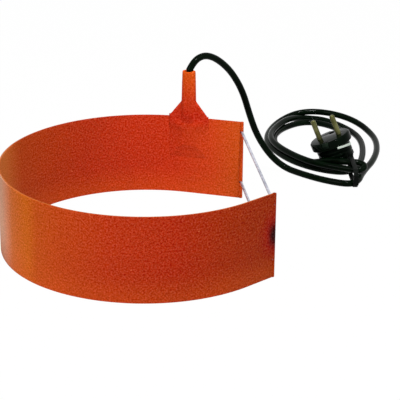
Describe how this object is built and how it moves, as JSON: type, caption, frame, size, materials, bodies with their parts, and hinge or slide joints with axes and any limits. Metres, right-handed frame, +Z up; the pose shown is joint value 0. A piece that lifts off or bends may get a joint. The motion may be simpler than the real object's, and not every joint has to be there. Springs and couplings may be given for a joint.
{
  "type": "heating belt",
  "caption": "Open silicone rubber heating band held round a vessel by two tension springs, with a moulded lead cover, coiled supply lead and mains plug.",
  "frame": {"origin": "on the axis of the ring, at the belt's lower edge", "axes": "+Z up along the ring's axis, +X towards the open side that the springs close, +Y towards the side where the supply lead comes in"},
  "size_m": [0.3414, 0.4244, 0.1252],
  "materials": {
    "silicone_inner": "satin with a fine woven grain",
    "silicone_outer": "satin with a fine woven grain",
    "silicone_cover": "satin",
    "resistance_alloy": "plain rolled",
    "spring_steel": "bright drawn",
    "cord_black": "satin",
    "tie_black": "satin",
    "plug_black": "moulded, satin",
    "pin_brass": "dull",
    "clip_steel": "bright",
    "core_brown": "satin",
    "core_blue": "satin",
    "tinned_crimp": "bright"
  },
  "bodies": {
    "root": {"inner_sheet": "silicone_inner", "outer_sheet": "silicone_outer", "heating_element": "resistance_alloy", "front_end_rod": "spring_steel", "back_end_rod": "spring_steel", "upper_spring": "spring_steel", "lower_spring": "spring_steel", "lead_cover": "silicone_cover", "lead_end": "cord_black", "left_core": "core_brown", "right_core": "core_blue", "left_crimp": "tinned_crimp", "right_crimp": "tinned_crimp", "supply_lead": "cord_black", "lead_coil": "cord_black", "coil_tie": "tie_black", "plug_lead": "cord_black", "plug_body": "plug_black", "plug_boot": "plug_black", "left_pin": "pin_brass", "right_pin": "pin_brass", "far_earth_clip": "clip_steel", "near_earth_clip": "clip_steel"}
  },
  "joints": []
}
